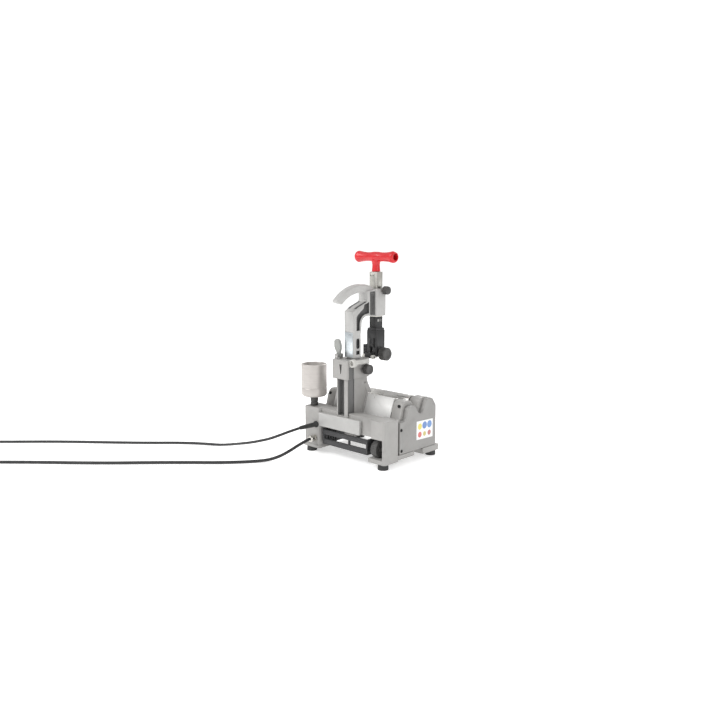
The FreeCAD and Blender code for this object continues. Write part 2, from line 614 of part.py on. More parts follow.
handle = new_body("handle_body")
spine = sketch_on(handle, "YZ", "handle_spine")
spine.addGeometry(Part.Arc(Vector(10, 435, 0), Vector(-31, 445.5, 0), Vector(-118, 412, 0)), False)
section = sketch_on(handle, "XZ", "handle_section", offset=-10)
outline(section, soft([(-10.5, 422.5, 7), (10.5, 422.5, 7), (10.5, 447.5, 7), (-10.5, 447.5, 7)]))
doc.recompute()
pipe = handle.newObject("PartDesign::AdditivePipe", "handle_pipe")
pipe.Profile = section
pipe.Spine = (spine, ["Edge1"])
handle.Tip = pipe
handle.Placement = Placement(Vector(d.axis_x, 0, 0), Rotation())
doc.recompute()
handle_soft = rounded("handle_round", handle, 3.5, lambda e: e.BoundBox.YMax < -100)
block = rounded("block_round", box("block_raw", "axis_x - block_half", "axis_x + block_half",
                                   "axis_y - block_half", "axis_y + block_half", "block_bot", "block_top"),
                3, lambda e: along(e, "z"))
post = box("arm_post", "post_left", "post_right", "post_front", "post_back", "post_bot", "leg_bot + 1")
arm_all = fuse("arm_all", [arm, handle_soft, block, post])
arm_cut = cut("arm_cut", arm_all, [
    box("bar_way", "axis_x - bar_half - fit_gap", "axis_x + bar_half + fit_gap",
        "axis_y - bar_half - fit_gap", "axis_y + bar_half + fit_gap", "block_bot - 1", "block_top + 1"),
    box("nut_way", "axis_x - 17.3", "axis_x + 17.3", "axis_y - 5.7", "axis_y + 5.7", "394.7", "409.3"),
    rod("bar_lock_way", "x", "axis_x + bar_half - 1", 36, 438.5, "3 + run_clear", 10),
])
named(arm_cut, "arm_casting")

strip = box("arm_strip", "leg_left + 1.5", "leg_right - 1.5", "leg_front - 1.8", "leg_front - fit_gap", "270", "334")
named(rounded("arm_strip_round", strip, 0.7, lambda e: along(e, "z")), "arm_scale_plate")
nut = cut("feed_nut_done", box("feed_nut_raw", "axis_x - 17", "axis_x + 17", "axis_y - 5.4", "axis_y + 5.4", "395", "409"),
          [rod("nut_bore", "z", "axis_x", "axis_y", 394, "spindle_rad - 1.4 + run_clear", 16)])
named(nut, "feed_nut")

# ---------------------------------------------------------------- feed bar, spindle and T handle
bar = rounded("bar_round", box("bar_raw", "axis_x - bar_half", "axis_x + bar_half", "axis_y - bar_half",
                               "axis_y + bar_half", "bar_bot", "bar_top"), 1.2, lambda e: along(e, "z"))
named(cut("feed_bar_done", bar, [
    box("nut_slot", "axis_x - 14", "axis_x + 14", "axis_y - 5.8", "axis_y + 5.8", "393.5", "448"),
    rod("spindle_way", "z", "axis_x", "axis_y", 372, "spindle_rad + fit_gap", 116),
    rod("bar_hole_left", "y", "axis_x - 8", "axis_y - bar_half - 1", 478, 1.9, 6),
    rod("bar_hole_right", "y", "axis_x + 1", "axis_y - bar_half - 1", 478, 1.9, 6),
]), "feed_bar")

thread = [(0, 375), (4.6, 375)]
level = 376.0
while level < 447:
    thread += [(d.spindle_rad - 1.45, level), (d.spindle_rad - 1.45, level + 1.2),
               (d.spindle_rad - 1.75, level + 1.7), (d.spindle_rad - 1.75, level + 2.4)]
    level += 3.0
thread += [(d.spindle_rad - 1.45, level), (d.spindle_rad, level + 2), (d.spindle_rad, 500), (0, 500)]
thread[1] = (d.spindle_rad - 1.45, 375)
named(turned("spindle_body", thread, Placement(Vector(d.axis_x, d.axis_y, 0), Rotation())), "feed_spindle")

g = d.grip_half
half_grip = [(0, -g + 22), (8.2, -g + 22), (9, -g + 0.8), (11.2, -g + 0.8), (15.2, -g + 11, (14.2, -g + 4)),
             (12.2, -g + 34, (13.1, -g + 24)), (12.8, -13, (11.9, -24)), (13.4, 0, (13.4, -6)), (12.8, 13, (13.4, 6)),
             (12.2, g - 34, (11.9, 24)), (15.2, g - 11, (13.1, g - 24)), (11.2, g - 0.8, (14.2, g - 4)),
             (9, g - 0.8), (8.2, g - 22), (0, g - 22)]
grip = turned("grip_body", half_grip, place_x(d.axis_x, d.axis_y, d.grip_z))
stem = turned("stem_body", [(d.spindle_rad + 0.3, 487.4), (10.4, 487.4), (11.5, 489), (10.2, 506, (10.4, 498)),
                            (12.2, 518), (d.spindle_rad + 0.3, 518)],
              Placement(Vector(d.axis_x, d.axis_y, 0), Rotation()))
spindle_seat = rod("spindle_seat", "z", "axis_x", "axis_y", 486, "spindle_rad + fit_gap", 14.4)
named(cut("t_handle_done", fuse("t_handle_solid", [grip, stem]), [spindle_seat]), "t_handle")

bar_lock = turned("bar_lock_body", [
    (0, -5.5), (3, -5.5), (3, 2), (6, 2), (6, 4), (10, 4), (11, 5), (11, 17), (10, 18.5), (0, 18.5)],
    place_x(d.axis_x + d.block_half, 36, 438.5))
knurl(bar_lock, 11, 5, 17, 16, depth=1.0)
named(bar_lock, "bar_lock_knob")

# ---------------------------------------------------------------- tool head
ribbed = [box("adapter_core", "axis_x - bar_half", "axis_x + bar_half", "axis_y - bar_half + 1.2",
              "axis_y + bar_half", "338", "368")]
for n in range(5):
    ribbed.append(box(f"adapter_rib_{n}", f"axis_x - bar_half + {1 + 5 * n}", f"axis_x - bar_half + {4 + 5 * n}",
                      "axis_y - bar_half", "axis_y - bar_half + 2", "339.5", "366.5"))
ribbed.append(box("adapter_flange", "axis_x - 16", "axis_x + 16", "axis_y - 16", "axis_y + 16", "332.3", "338"))
named(cut("adapter_done", fuse("adapter_solid", ribbed), [
    box("adapter_mark_0", "axis_x + bar_half - 0.8", "axis_x + bar_half + 1", "axis_y - 6", "axis_y - 1", "356", "361"),
    box("adapter_mark_1", "axis_x + bar_half - 0.8", "axis_x + bar_half + 1", "axis_y + 3", "axis_y + 8", "356", "361"),
]), "tool_adapter")

tool_block = rounded("tool_block_round", box("tool_block", "axis_x - tool_half", "axis_x + tool_half",
                                             "axis_y - tool_half", "axis_y + tool_half", "tool_bot", "tool_top"),
                     2.5, lambda e: along(e, "z"))
bracket = box("guide_bracket", "axis_x - 14.5", "axis_x + 6.5", "guide_y - 4.5", "axis_y - tool_half + 1",
              "tool_bot - 4", "tool_bot + 10")
axle = rod("guide_axle", "x", "axis_x - 25.5", "guide_y", "guide_z", 2.5, 43)
latch = box("tool_latch", "axis_x - 9", "axis_x - 5", "axis_y - tool_half - 2.2", "axis_y - tool_half + 1", "286", "309")
latch_foot = box("tool_latch_foot", "axis_x - 9", "axis_x + 5", "axis_y - tool_half - 2.2",
                 "axis_y - tool_half + 1", "292", "296")
named(cut("tool_body_done", fuse("tool_body_solid", [tool_block, bracket, axle, latch, latch_foot]), [
    box("wheel_slot", "axis_x - 4.5", "axis_x + 4.5", "axis_y - 18", "axis_y + 18.5", "tool_bot - 5", "cut_z + 18"),
    box("tool_window", "axis_x + 7", "axis_x + 14", "axis_y - tool_half - 1", "axis_y - tool_half + 3", "286", "312"),
    rod("tool_eye", "x", "axis_x + 3", "axis_y", "cut_z", "4 + run_clear", 16),
    rod("tool_eye_left", "x", "axis_x - 12.5", "axis_y", "cut_z", "4 + run_clear", 12),
]), "tool_body")

named(turned("cutter_body", [
    (4 + d.run_clear, -2.4), (10, -2.4), (10.8, -1.6), (d.cut_rad, -0.25), (d.cut_rad, 0.25), (10.8, 1.6),
    (10, 2.4), (4 + d.run_clear, 2.4)], place_x(d.axis_x, d.axis_y, d.cut_z)), "cutting_wheel")

tool_knob = turned("tool_knob_body", [
    (0, -28), (4, -28), (4, 3), (9, 3), (9, 5.5), (16.3, 5.5), (17.5, 6.7), (17.5, 24), (16, 25.6), (10, 25.6),
    (8.5, 24), (0, 24)], place_x(d.axis_x + d.tool_half, d.axis_y, d.cut_z))
knurl(tool_knob, 17.5, 6.7, 24, 22, depth=1.2)
named(tool_knob, "tool_knob")

side_block = rounded("side_block_round", box("side_block", "-35", "axis_x - tool_half - fit_gap", "10.5", "27",
                                             "266", "292"), 1.5, lambda e: along(e, "z"))
named(side_block, "tool_side_block")
dots = [turned(f"side_screw_{n}", [(0, 0), (1.9, 0), (1.9, 1.2), (0, 1.6)],
               Placement(Vector(-28.5, 10.2, 271 + 8 * n), Rotation(Vector(1, 0, 0), 90))) for n in range(3)]
named(doc.addObject("Part::Compound", "side_screws_all"), "side_block_screws").Links = dots

for name, x in (("guide_roller_left", d.axis_x - 24.5), ("guide_roller_right", d.axis_x + 7)):
    named(turned(name + "_body", [
        (2.5 + d.run_clear, 0), (d.guide_rad - 0.8, 0), (d.guide_rad, 0.8), (d.guide_rad, 8.7),
        (d.guide_rad - 0.8, 9.5), (2.5 + d.run_clear, 9.5)], place_x(x, d.guide_y, d.guide_z)), name)

# ---------------------------------------------------------------- reamer cup on the left tower
named(turned("cup_post_body", [(0, 120), (6, 120), (6, 125.3), (d.neck_rad, 125.3), (d.neck_rad, 133),
                               (d.neck_rad - 1.2, 134), (d.neck_rad - 1.2, 136), (d.neck_rad, 137),
                               (d.neck_rad, 150), (0, 150)],
             Placement(Vector(d.cup_x, d.cup_y, 0), Rotation())), "cup_post")
r = d.cup_rad
cup = turned("cup_shell", [
    (0, d.cup_bot), (11, d.cup_bot), (r - 8, d.cup_bot + 1), (r, d.cup_bot + 9, (r - 2.3, d.cup_bot + 3.3)),
    (r, 174), (r - 0.8, 174.8), (r - 0.8, 176.2), (r, 177), (r, d.cup_top - 2),
    (r - 2, d.cup_top, (r - 0.6, d.cup_top - 0.6)), (r - 4.5, d.cup_top),
    (r - 5.5, d.cup_top - 3), (20, 186), (0, 180)], Placement(Vector(d.cup_x, d.cup_y, 0), Rotation()))

named(cup, "reamer_cup")
fins = []
for n in range(4):
    fin = side_body(f"cup_fin_{n}", [(2, 181), (2, 222), (22, 214), (27.6, 226), (27.4, 221), (19.5, 187.5),
                                     (12, 185)], -1.0, "2")
    fin.Placement = Placement(Vector(d.cup_x, d.cup_y, 0), Rotation(Vector(0, 0, 1), 25 + 90 * n)).multiply(
        Placement(Vector(-1.0, 0, 0), Rotation()))
    fins.append(fin)
doc.recompute()
cone_blades = fuse("cup_core_solid", [turned("cup_core_cone", [(0, 184), (8, 185), (6, 206), (2.5, 226), (0, 226)],
                                             Placement(Vector(d.cup_x, d.cup_y, 0), Rotation()))] + fins)
named(cone_blades, "reamer_blades")

# ---------------------------------------------------------------- hand wheel in the right pocket
hand_wheel = turned("hand_wheel_body", [
    (0, 2), (8, 2), (9, 3), (14, 3.5), (17, 0.8), (20, 0.8), (d.wheel_rad, 2.2), (d.wheel_rad, 18.4), (20, 19.8),
    (8, 19.8), (8, 22), (5, 22), (5, 46), (0, 46)], place_x(d.wheel_left, d.wheel_y, d.wheel_z))
knurl(hand_wheel, d.wheel_rad, 0.8, 19.8, 30, depth=1.0)
named(hand_wheel, "hand_wheel")

# ---------------------------------------------------------------- cable entries
named(turned("mains_relief_body", [
    (0, 11), (4.6, 11), (5.4, 4, (5.0, 8)), (6.4, -40), (8.6, -44), (8.6, -47.7), (6, -47.7), (6, -56), (0, -56)],
    Placement(Vector(d.mains_x, d.front_y - 48, d.mains_z), Rotation(Vector(1, 0, 0), 90))), "mains_relief")
gland = turned("lead_gland_body", [
    (0, 0.3), (9, 0.3), (9, 4), (7.4, 4), (7.4, 6), (9, 6), (9, 15), (6.6, 21, (8.2, 19)), (0, 21)],
    Placement(Vector(d.lead_x, d.front_y, d.lead_z), Rotation(Vector(1, 0, 0), 90)))
hexes = sketch_on(gland, "XY", "gland_flats", offset=6)
outline(hexes, [(8.6 / math.cos(math.pi / 6) * math.cos(math.radians(60 * n)),
                 8.6 / math.cos(math.pi / 6) * math.sin(math.radians(60 * n))) for n in range(6)])
ring(hexes, 0, 0, 14)
pocket(gland, hexes, 9, "gland_flats_cut", backwards=True)
spigot = rod("gland_spigot", "y", "lead_x", "front_y - 1", "lead_z", 6, 9)
named(fuse("lead_gland_done", [gland, spigot]), "lead_gland")


# ---------------------------------------------------------------- cords
def cord_tube(label, points, radius):
    """Round tube on straight runs joined by arcs that touch both runs."""
    points = [Vector(*p) for p in points]
    here, edges, tightest = points[0], [], 1e9
    for before, corner, after in zip(points, points[1:], points[2:]):
        back, onward = (before - corner), (after - corner)
        reach = 0.45 * min(back.Length, onward.Length)
        half = back.getAngle(onward) / 2
        back.normalize(), onward.normalize()
        first, last = corner + back * reach, corner + onward * reach
        bend = reach * math.tan(half)
        tightest = min(tightest, bend)
        inward = (back + onward).normalize()
        middle = corner + inward * (bend / math.sin(half) - bend)
        edges += [Part.LineSegment(here, first).toShape(), Part.Arc(first, middle, last).toShape()]
        here = last
    edges.append(Part.LineSegment(here, points[-1]).toShape())
    wire = Part.Wire(edges)
    circle = Part.Wire([Part.Circle(points[0], points[1] - points[0], radius).toShape()])
    solid = wire.makePipeShell([circle], True, False)
    tube = doc.addObject("Part::Feature", label + "_tube")
    tube.Shape = solid
    share = solid.Volume / (math.pi * radius ** 2 * wire.Length)
    print(f"{label}: run {wire.Length:.0f} mm, tightest bend {tightest:.0f} mm, volume share {share:.3f}")
    return named(tube, label)


def coil_ring(label, centre, inner, outer, tall):
    """The wound-up length as one closed ring."""
    ease = 2.5
    return named(turned(label + "_ring", [
        (inner, 0.2), (outer, 0.2), (outer, tall - ease), (outer - ease, tall), (inner + ease, tall),
        (inner, tall - ease)], Placement(Vector(*centre, 0), Rotation())), label)


def end_piece(label, points, start, heading, lift):
    """Piece of revolution lying on the floor, from start along heading (degrees)."""
    turn = Rotation(Vector(0, 0, 1), heading).multiply(Rotation(Vector(0, 1, 0), 90))
    return turned(label + "_turned", points, Placement(Vector(start[0], start[1], lift), turn))


MAINS_ROUTE = [
    (-99, -163.5, 80), (-101, -196, 77), (-107, -226, 71), (-122, -248, 63), (-150, -259, 54), (-190, -261, 42),
    (-240, -257, 29), (-290, -252, 16), (-337, -252, 6), (-384, -268, 3.9), (-440, -308, 3.9), (-505, -372, 3.9),
    (-578, -436, 3.9), (-655, -500, 3.9), (-735, -572, 3.9), (-806, -644, 3.9),
    (-872, -704, 3.9)]
LEAD_ROUTE = [
    (-105, -125.5, 41), (-105.5, -158, 34), (-107, -190, 23), (-113, -219, 13), (-124, -245, 6.5), (-140, -269, 4.4),
    (-165, -304, 4.3), (-203, -348, 4.3), (-262, -402, 4.3), (-332, -470, 4.3), (-402, -542, 4.3), (-476, -610, 4.3),
    (-548, -672, 4.3), (-636, -754, 4.3)]
cord_tube("mains_cord", MAINS_ROUTE, d.mains_rad)
cord_tube("lead_cord", LEAD_ROUTE, d.lead_rad)

MAINS_COIL = (-926.1, -689.1)
LEAD_COIL = (-621.5, -813.4)
coil_ring("mains_coil", MAINS_COIL, 36, 51, 22.2)
coil_ring("lead_coil", LEAD_COIL, 40.5, 57.5, 16.8)

def beside(centre, rad, heading, ahead, side=0.0):
    """Point on the line that touches a circle (negative radius: wound clockwise) and leaves it along heading."""
    way = Vector(math.cos(math.radians(heading)), math.sin(math.radians(heading)), 0)
    return Vector(*centre, 0) + Vector(way.y, -way.x, 0) * (rad + side) + way * ahead


plug_turned = end_piece("mains_plug", [
    (0, 0), (3.6, 0), (3.6, 12), (4.6, 13), (6.4, 34), (9, 36), (13, 44, (12.4, 40)), (15, 62), (15, 66), (0, 66)],
    beside(MAINS_COIL, -47.4, 130, 27.5), 130, 15.2)
pins = [end_piece(f"plug_pin_{n}", [(0, 65), (2.4, 65), (2.4, 83), (1.6, 84.5), (0, 84.5)],
                  beside(MAINS_COIL, -47.4, 130, 27.5, side), 130, 15.2)
        for n, side in enumerate((-9.5, 9.5))]
named(fuse("mains_plug_done", [plug_turned] + pins), "mains_plug")
connector = end_piece("lead_connector", [
    (0, 0), (4.1, 0), (4.1, 10), (5.6, 11), (6.8, 24), (9.5, 26), (9.5, 44), (10.5, 45), (10.5, 60), (8.4, 60),
    (8.4, 52), (0, 52)], beside(LEAD_COIL, 53.3, 270, 30.5), 270, 10.7)
contacts = [end_piece(f"contact_{n}", [(0, 51), (1.1, 51), (1.1, 58.5), (0, 59)],
                      beside(LEAD_COIL, 53.3, 270, 30.5, 4.2 * math.cos(math.radians(90 * n))),
                      270, 10.7 + 4.2 * math.sin(math.radians(90 * n))) for n in range(4)]
named(fuse("lead_connector_done", [connector] + contacts), "lead_connector")

doc.recompute()
bad = [(o.Name, o.State) for o in doc.Objects if "Invalid" in o.State or "Error" in o.State]
if bad:
    raise RuntimeError(f"features with errors: {bad}")
for node in nodes:
    shape = node.Shape
    if shape.isNull() or not shape.isValid():
        raise RuntimeError(f"{node.Label}: shape is missing or not valid")
    shape.exportStep(f"parts/{node.Label}.step")
    low, high = shape.BoundBox, shape.BoundBox
    print(f"{node.Label:22s} solids {len(shape.Solids)} volume {shape.Volume / 1000:8.2f} cm3  "
          f"x {low.XMin:7.1f} {low.XMax:7.1f}  y {low.YMin:7.1f} {low.YMax:7.1f}  z {low.ZMin:7.1f} {low.ZMax:7.1f}")
print(len(nodes), "nodes")
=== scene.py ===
import json
import math

import bpy
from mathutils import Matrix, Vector


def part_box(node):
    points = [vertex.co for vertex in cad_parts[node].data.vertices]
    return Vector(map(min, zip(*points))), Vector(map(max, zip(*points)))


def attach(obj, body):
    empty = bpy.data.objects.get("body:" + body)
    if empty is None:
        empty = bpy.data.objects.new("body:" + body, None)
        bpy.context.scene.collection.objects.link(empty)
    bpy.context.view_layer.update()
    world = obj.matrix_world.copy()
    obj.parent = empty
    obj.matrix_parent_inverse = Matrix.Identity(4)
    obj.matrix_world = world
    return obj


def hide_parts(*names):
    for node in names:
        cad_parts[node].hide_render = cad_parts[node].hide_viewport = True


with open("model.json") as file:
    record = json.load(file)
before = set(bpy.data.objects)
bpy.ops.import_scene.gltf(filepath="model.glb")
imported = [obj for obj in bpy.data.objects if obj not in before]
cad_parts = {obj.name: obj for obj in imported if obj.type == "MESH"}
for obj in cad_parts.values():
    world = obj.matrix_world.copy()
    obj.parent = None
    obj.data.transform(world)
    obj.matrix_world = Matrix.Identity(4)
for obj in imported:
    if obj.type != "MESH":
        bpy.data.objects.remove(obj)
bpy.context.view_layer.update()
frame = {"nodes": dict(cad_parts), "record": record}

MM = 0.001

# ---------------------------------------------------------------- camera
AZIMUTH = math.radians(43.672)
PITCH = math.radians(9.166)
DISTANCE = 1.971
SIDE_STEP = -0.02607
CAMERA_HEIGHT = 0.5717
LENS = 37.42            # mm
SENSOR_WIDTH = 36       # mm
CLIP_END = 200

right_way = Vector((math.cos(AZIMUTH), math.sin(AZIMUTH), 0))
back_way = Vector((math.sin(AZIMUTH), -math.cos(AZIMUTH), 0))
camera_data = bpy.data.cameras.new("camera")
camera_data.lens = LENS
camera_data.sensor_width = SENSOR_WIDTH
camera_data.clip_end = CLIP_END
camera = bpy.data.objects.new("camera", camera_data)
bpy.context.scene.collection.objects.link(camera)
camera.location = back_way * DISTANCE + right_way * SIDE_STEP + Vector((0, 0, CAMERA_HEIGHT))
camera.rotation_euler = (math.radians(90) - PITCH, 0, AZIMUTH)
bpy.context.scene.camera = camera

# ---------------------------------------------------------------- material makers
ZONE_SOFTNESS = 0.0004
NOISE_LOW, NOISE_HIGH = 0.3, 0.7            # most of a noise texture's values lie between these
FLAT_COSINE, EDGE_COSINE = 0.985, 0.86      # between a face's normal and its rounded normal
EDGE_SAMPLES = 6


def shade(colour, factor):
    return tuple(min(1.0, part * factor) for part in colour)


def opaque(colour):
    return colour if isinstance(colour, bpy.types.NodeSocket) else (*colour, 1.0)


class Surface:
    """A Principled material and short ways to add nodes to it. Coordinates are metres on the object."""

    def __init__(self, name):
        self.material = bpy.data.materials.new(name)
        self.material.use_nodes = True
        self.tree = self.material.node_tree
        self.shader = self.tree.nodes["Principled BSDF"]
        self.place = self.tree.nodes.new("ShaderNodeTexCoord").outputs["Object"]

    def put(self, socket, value):
        """Link a socket's value, or set a plain one."""
        if isinstance(value, bpy.types.NodeSocket):
            self.tree.links.new(value, socket)
        else:
            socket.default_value = value

    def add(self, kind, inputs=None, **settings):
        node = self.tree.nodes.new(kind)
        for key, value in settings.items():
            setattr(node, key, value)
        for key, value in (inputs or {}).items():
            self.put(node.inputs[key], value)
        return node

    def feed(self, key, value):
        self.put(self.shader.inputs[key], value)

    def axes(self):
        return self.add("ShaderNodeSeparateXYZ", {"Vector": self.place}).outputs

    def stretched(self, scale):
        return self.add("ShaderNodeMapping", {"Vector": self.place, "Scale": scale}).outputs["Vector"]

    def noise(self, scale, detail, rough=0.5, place=None):
        inputs = {"Vector": place or self.place, "Scale": scale, "Detail": detail, "Roughness": rough}
        return self.add("ShaderNodeTexNoise", inputs).outputs["Fac"]

    def spread(self, fac, low, high, out_low=0.0, out_high=1.0):
        """fac from low..high to out_low..out_high, held at both ends."""
        inputs = {"Value": fac, "From Min": low, "From Max": high, "To Min": out_low, "To Max": out_high}
        return self.add("ShaderNodeMapRange", inputs).outputs["Result"]

    def varied(self, noise, low, high):
        """A number that drifts with the noise between low and high."""
        return self.spread(noise, NOISE_LOW, NOISE_HIGH, low, high)

    def toned(self, noise, colour, dark, light):
        """The colour, drifting with the noise between a darker and a lighter shade of it."""
        return self.blend(self.varied(noise, 0.0, 1.0), shade(colour, dark), shade(colour, light))

    def maths(self, kind, a, b=0.0):
        return self.add("ShaderNodeMath", {0: a, 1: b}, operation=kind).outputs[0]

    def times(self, a, b):
        return self.maths("MULTIPLY", a, b)

    def blend(self, fac, one, two):
        node = self.add("ShaderNodeMix", data_type="RGBA")
        for n, value in ((0, fac), (6, opaque(one)), (7, opaque(two))):
            self.put(node.inputs[n], value)
        return node.outputs[2]

    def inside(self, low, high):
        """1 within the box from low to high (mm), 0 outside it."""
        parts = self.axes()
        mask = 1.0
        for axis, start, end in zip("XYZ", low, high):
            for limit, soft in ((start * MM, ZONE_SOFTNESS), (end * MM, -ZONE_SOFTNESS)):
                mask = self.times(mask, self.spread(parts[axis], limit - soft, limit + soft))
        return mask

    def edges(self, radius):
        """1 on a convex or concave edge, 0 away from it."""
        soft = self.add("ShaderNodeBevel", {"Radius": radius}, samples=EDGE_SAMPLES).outputs["Normal"]
        sharp = self.add("ShaderNodeNewGeometry").outputs["Normal"]
        cosine = self.add("ShaderNodeVectorMath", {0: soft, 1: sharp}, operation="DOT_PRODUCT")
        return self.spread(cosine.outputs["Value"], FLAT_COSINE, EDGE_COSINE)

    def bump(self, height, depth, under=None):
        inputs = {"Height": height, "Strength": 1.0, "Distance": depth}
        if under:
            inputs["Normal"] = under
        return self.add("ShaderNodeBump", inputs).outputs["Normal"]


def painted(name, colour, rough=0.42, grain=0.00009, cast=0.00012, wear_and_highlight=0.5, bare=(0.55, 0.54, 0.52),
            zones=(), edge_highlight_and_wear_tone=1.22):
    """Enamel on a casting: fine orange peel, soft cast swells, tone shifts, thin paint on edges, and a
    painted highlight along every edge.
    A zone is (low corner, high corner, colour), in mm: a part of the casting given its own colour, here
    mostly painted shade in recesses, painted light on the chute and painted highlights on the tool adapter."""
    s = Surface(name)
    tone = s.toned(s.noise(14, 4), colour, 0.93, 1.05)
    grime = s.spread(s.noise(70, 6, 0.62), 0.50, 0.78)
    tone = s.blend(s.times(grime, 0.22), tone, shade(colour, 0.62))
    for low, high, fill_colour in zones:
        tone = s.blend(s.inside(low, high), tone, fill_colour)
    edge = s.edges(0.0011)
    # Edges rubbed through to bare metal in patches: wear, and on the blackened steel also a painted
    # highlight.
    rubbed_and_highlit = s.times(edge, s.spread(s.noise(210, 4, 0.7), 0.42, 0.66))
    # Painted highlight: every edge is lightened towards a brighter shade of the paint.
    edge_highlit = s.blend(s.times(edge, 0.35), tone, shade(colour, edge_highlight_and_wear_tone))
    s.feed("Base Color", s.blend(s.times(rubbed_and_highlit, wear_and_highlight), edge_highlit, bare))
    s.feed("Metallic", s.times(rubbed_and_highlit, wear_and_highlight * 0.6))
    s.feed("Roughness", s.varied(s.noise(45, 5), rough - 0.07, rough + 0.09))
    peel = s.bump(s.noise(1100, 2), grain)
    s.feed("Normal", s.bump(s.noise(160, 3), cast, peel))
    return s.material


def steel(name, colour, rough=0.3, scale=(40, 1800, 1800), depth=0.00003, stain=0.25):
    """Ground or turned metal: fine tool lines, faint stains, edges brightened as a painted highlight."""
    s = Surface(name)
    lines = s.noise(1.0, 4, 0.6, s.stretched(scale))
    tone = s.toned(lines, colour, 0.82, 1.1)
    stains = s.spread(s.noise(55, 5, 0.6), 0.52, 0.75)
    tone = s.blend(s.times(stains, stain), tone, shade(colour, 0.45))
    edge = s.edges(0.0007)
    # Painted highlight: edges lightened halfway towards a brighter shade.
    s.feed("Base Color", s.blend(s.times(edge, 0.5), tone, shade(colour, 1.25)))
    s.feed("Metallic", 1.0)
    s.feed("Roughness", s.varied(s.noise(90, 4), rough - 0.08, rough + 0.12))
    s.feed("Normal", s.bump(lines, depth))
    return s.material


def moulded(name, colour, rough=0.45, grain=0.00006, coat=0.0, wear_and_highlight=0.3, edge_highlight_and_wear_tone=1.5):
    """Moulded plastic: spark-eroded grain, dull and shiny patches, lighter edges in patches, partly rubbed
    wear and partly a painted highlight.
    """
    s = Surface(name)
    tone = s.toned(s.noise(30, 4), colour, 0.9, 1.08)
    # Lighter edge patches: partly rubbed wear, partly a painted highlight.
    rubbed_and_highlit = s.times(s.edges(0.0009), s.spread(s.noise(260, 3), 0.38, 0.7))
    s.feed("Base Color", s.blend(s.times(rubbed_and_highlit, wear_and_highlight), tone, shade(colour, edge_highlight_and_wear_tone)))
    s.feed("Roughness", s.varied(s.noise(60, 4), rough - 0.06, rough + 0.1))
    if coat:
        s.feed("Coat Weight", coat)
        s.feed("Coat Roughness", 0.12)
    s.feed("Normal", s.bump(s.noise(1700, 2), grain))
    return s.material


def rubbery(name, colour, rough=0.62, dust=0.3):
    """Soft black rubber with a dusty bloom and a fine skin."""
    s = Surface(name)
    tone = s.toned(s.noise(25, 4), colour, 0.85, 1.25)
    bloom = s.spread(s.noise(110, 6, 0.65), 0.5, 0.8)
    s.feed("Base Color", s.blend(s.times(bloom, dust), tone, (0.14, 0.135, 0.13)))
    s.feed("Roughness", s.varied(s.noise(75, 4), rough - 0.1, rough + 0.12))
    s.feed("Normal", s.bump(s.noise(1500, 2), 0.00005))
    return s.material


def anodised(name, colour):
    """Satin turned aluminium: rings of tool marks round the upright axis, light hand marks."""
    s = Surface(name)
    rings = s.noise(1.0, 3, 0.6, s.stretched((3, 3, 1500)))
    tone = s.toned(rings, colour, 0.92, 1.06)
    marks = s.spread(s.noise(65, 6, 0.6), 0.52, 0.8)
    s.feed("Base Color", s.blend(s.times(marks, 0.25), tone, shade(colour, 0.62)))
    s.feed("Metallic", 0.35)
    s.feed("Roughness", s.varied(s.noise(50, 4), 0.3, 0.46))
    s.feed("Normal", s.bump(rings, 0.00003))
    return s.material


# Patches of the sticker: place across and up as shares of its sides, radius as a share of its width, colour.
STICKER_PATCHES = (
    (0.20, 0.70, 0.13, (0.72, 0.60, 0.03)), (0.49, 0.72, 0.15, (0.02, 0.15, 0.48)),
    (0.79, 0.71, 0.15, (0.03, 0.19, 0.52)), (0.20, 0.28, 0.12, (0.58, 0.04, 0.03)),
    (0.49, 0.27, 0.10, (0.52, 0.42, 0.05)), (0.78, 0.27, 0.11, (0.45, 0.07, 0.06)))
STICKER_ASPECT = 0.75       # height over width
PATCH_SOFTNESS = 0.015
PATCH_STRENGTH = 0.85


def sticker(name, low, high):
    """Plain pale sticker with flat colour patches; no signs and no lettering."""
    s = Surface(name)
    parts = s.axes()
    across = s.spread(parts["Y"], low.y, high.y)
    up = s.spread(parts["Z"], low.z, high.z)
    colour = s.blend(s.varied(s.noise(60, 4), 0.0, 1.0), (0.80, 0.81, 0.82), (0.88, 0.88, 0.87))
    for y, z, radius, fill_colour in STICKER_PATCHES:
        aside = s.maths("SUBTRACT", across, y)
        above = s.times(s.maths("SUBTRACT", up, z), STICKER_ASPECT)
        far = s.maths("SQRT", s.maths("ADD", s.times(aside, aside), s.times(above, above)))
        patch = s.spread(far, radius, radius - PATCH_SOFTNESS, 0.0, PATCH_STRENGTH)
        colour = s.blend(patch, colour, fill_colour)
    s.feed("Base Color", colour)
    s.feed("Roughness", s.varied(s.noise(80, 3), 0.28, 0.4))
    s.feed("Normal", s.bump(s.noise(500, 2), 0.00003))
    return s.material


# ---------------------------------------------------------------- zones of own colour, mostly painted shade and painted light, in mm
ARM_MIDDLE = -4             # X of the arm's middle plane
CHUTE_MARGIN = 2


def both_sides(low, high, fill_colour):
    """A zone on the arm's right side and its mirror image on the left."""
    mirror_low = (2 * ARM_MIDDLE - high[0], *low[1:])
    mirror_high = (2 * ARM_MIDDLE - low[0], *high[1:])
    return [(low, high, fill_colour), (mirror_low, mirror_high, fill_colour)]


def box_round(node, margin):
    """Corners of a box that stands margin off a node on all sides."""
    low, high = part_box(node)
    return [part / MM - margin for part in low], [part / MM + margin for part in high]


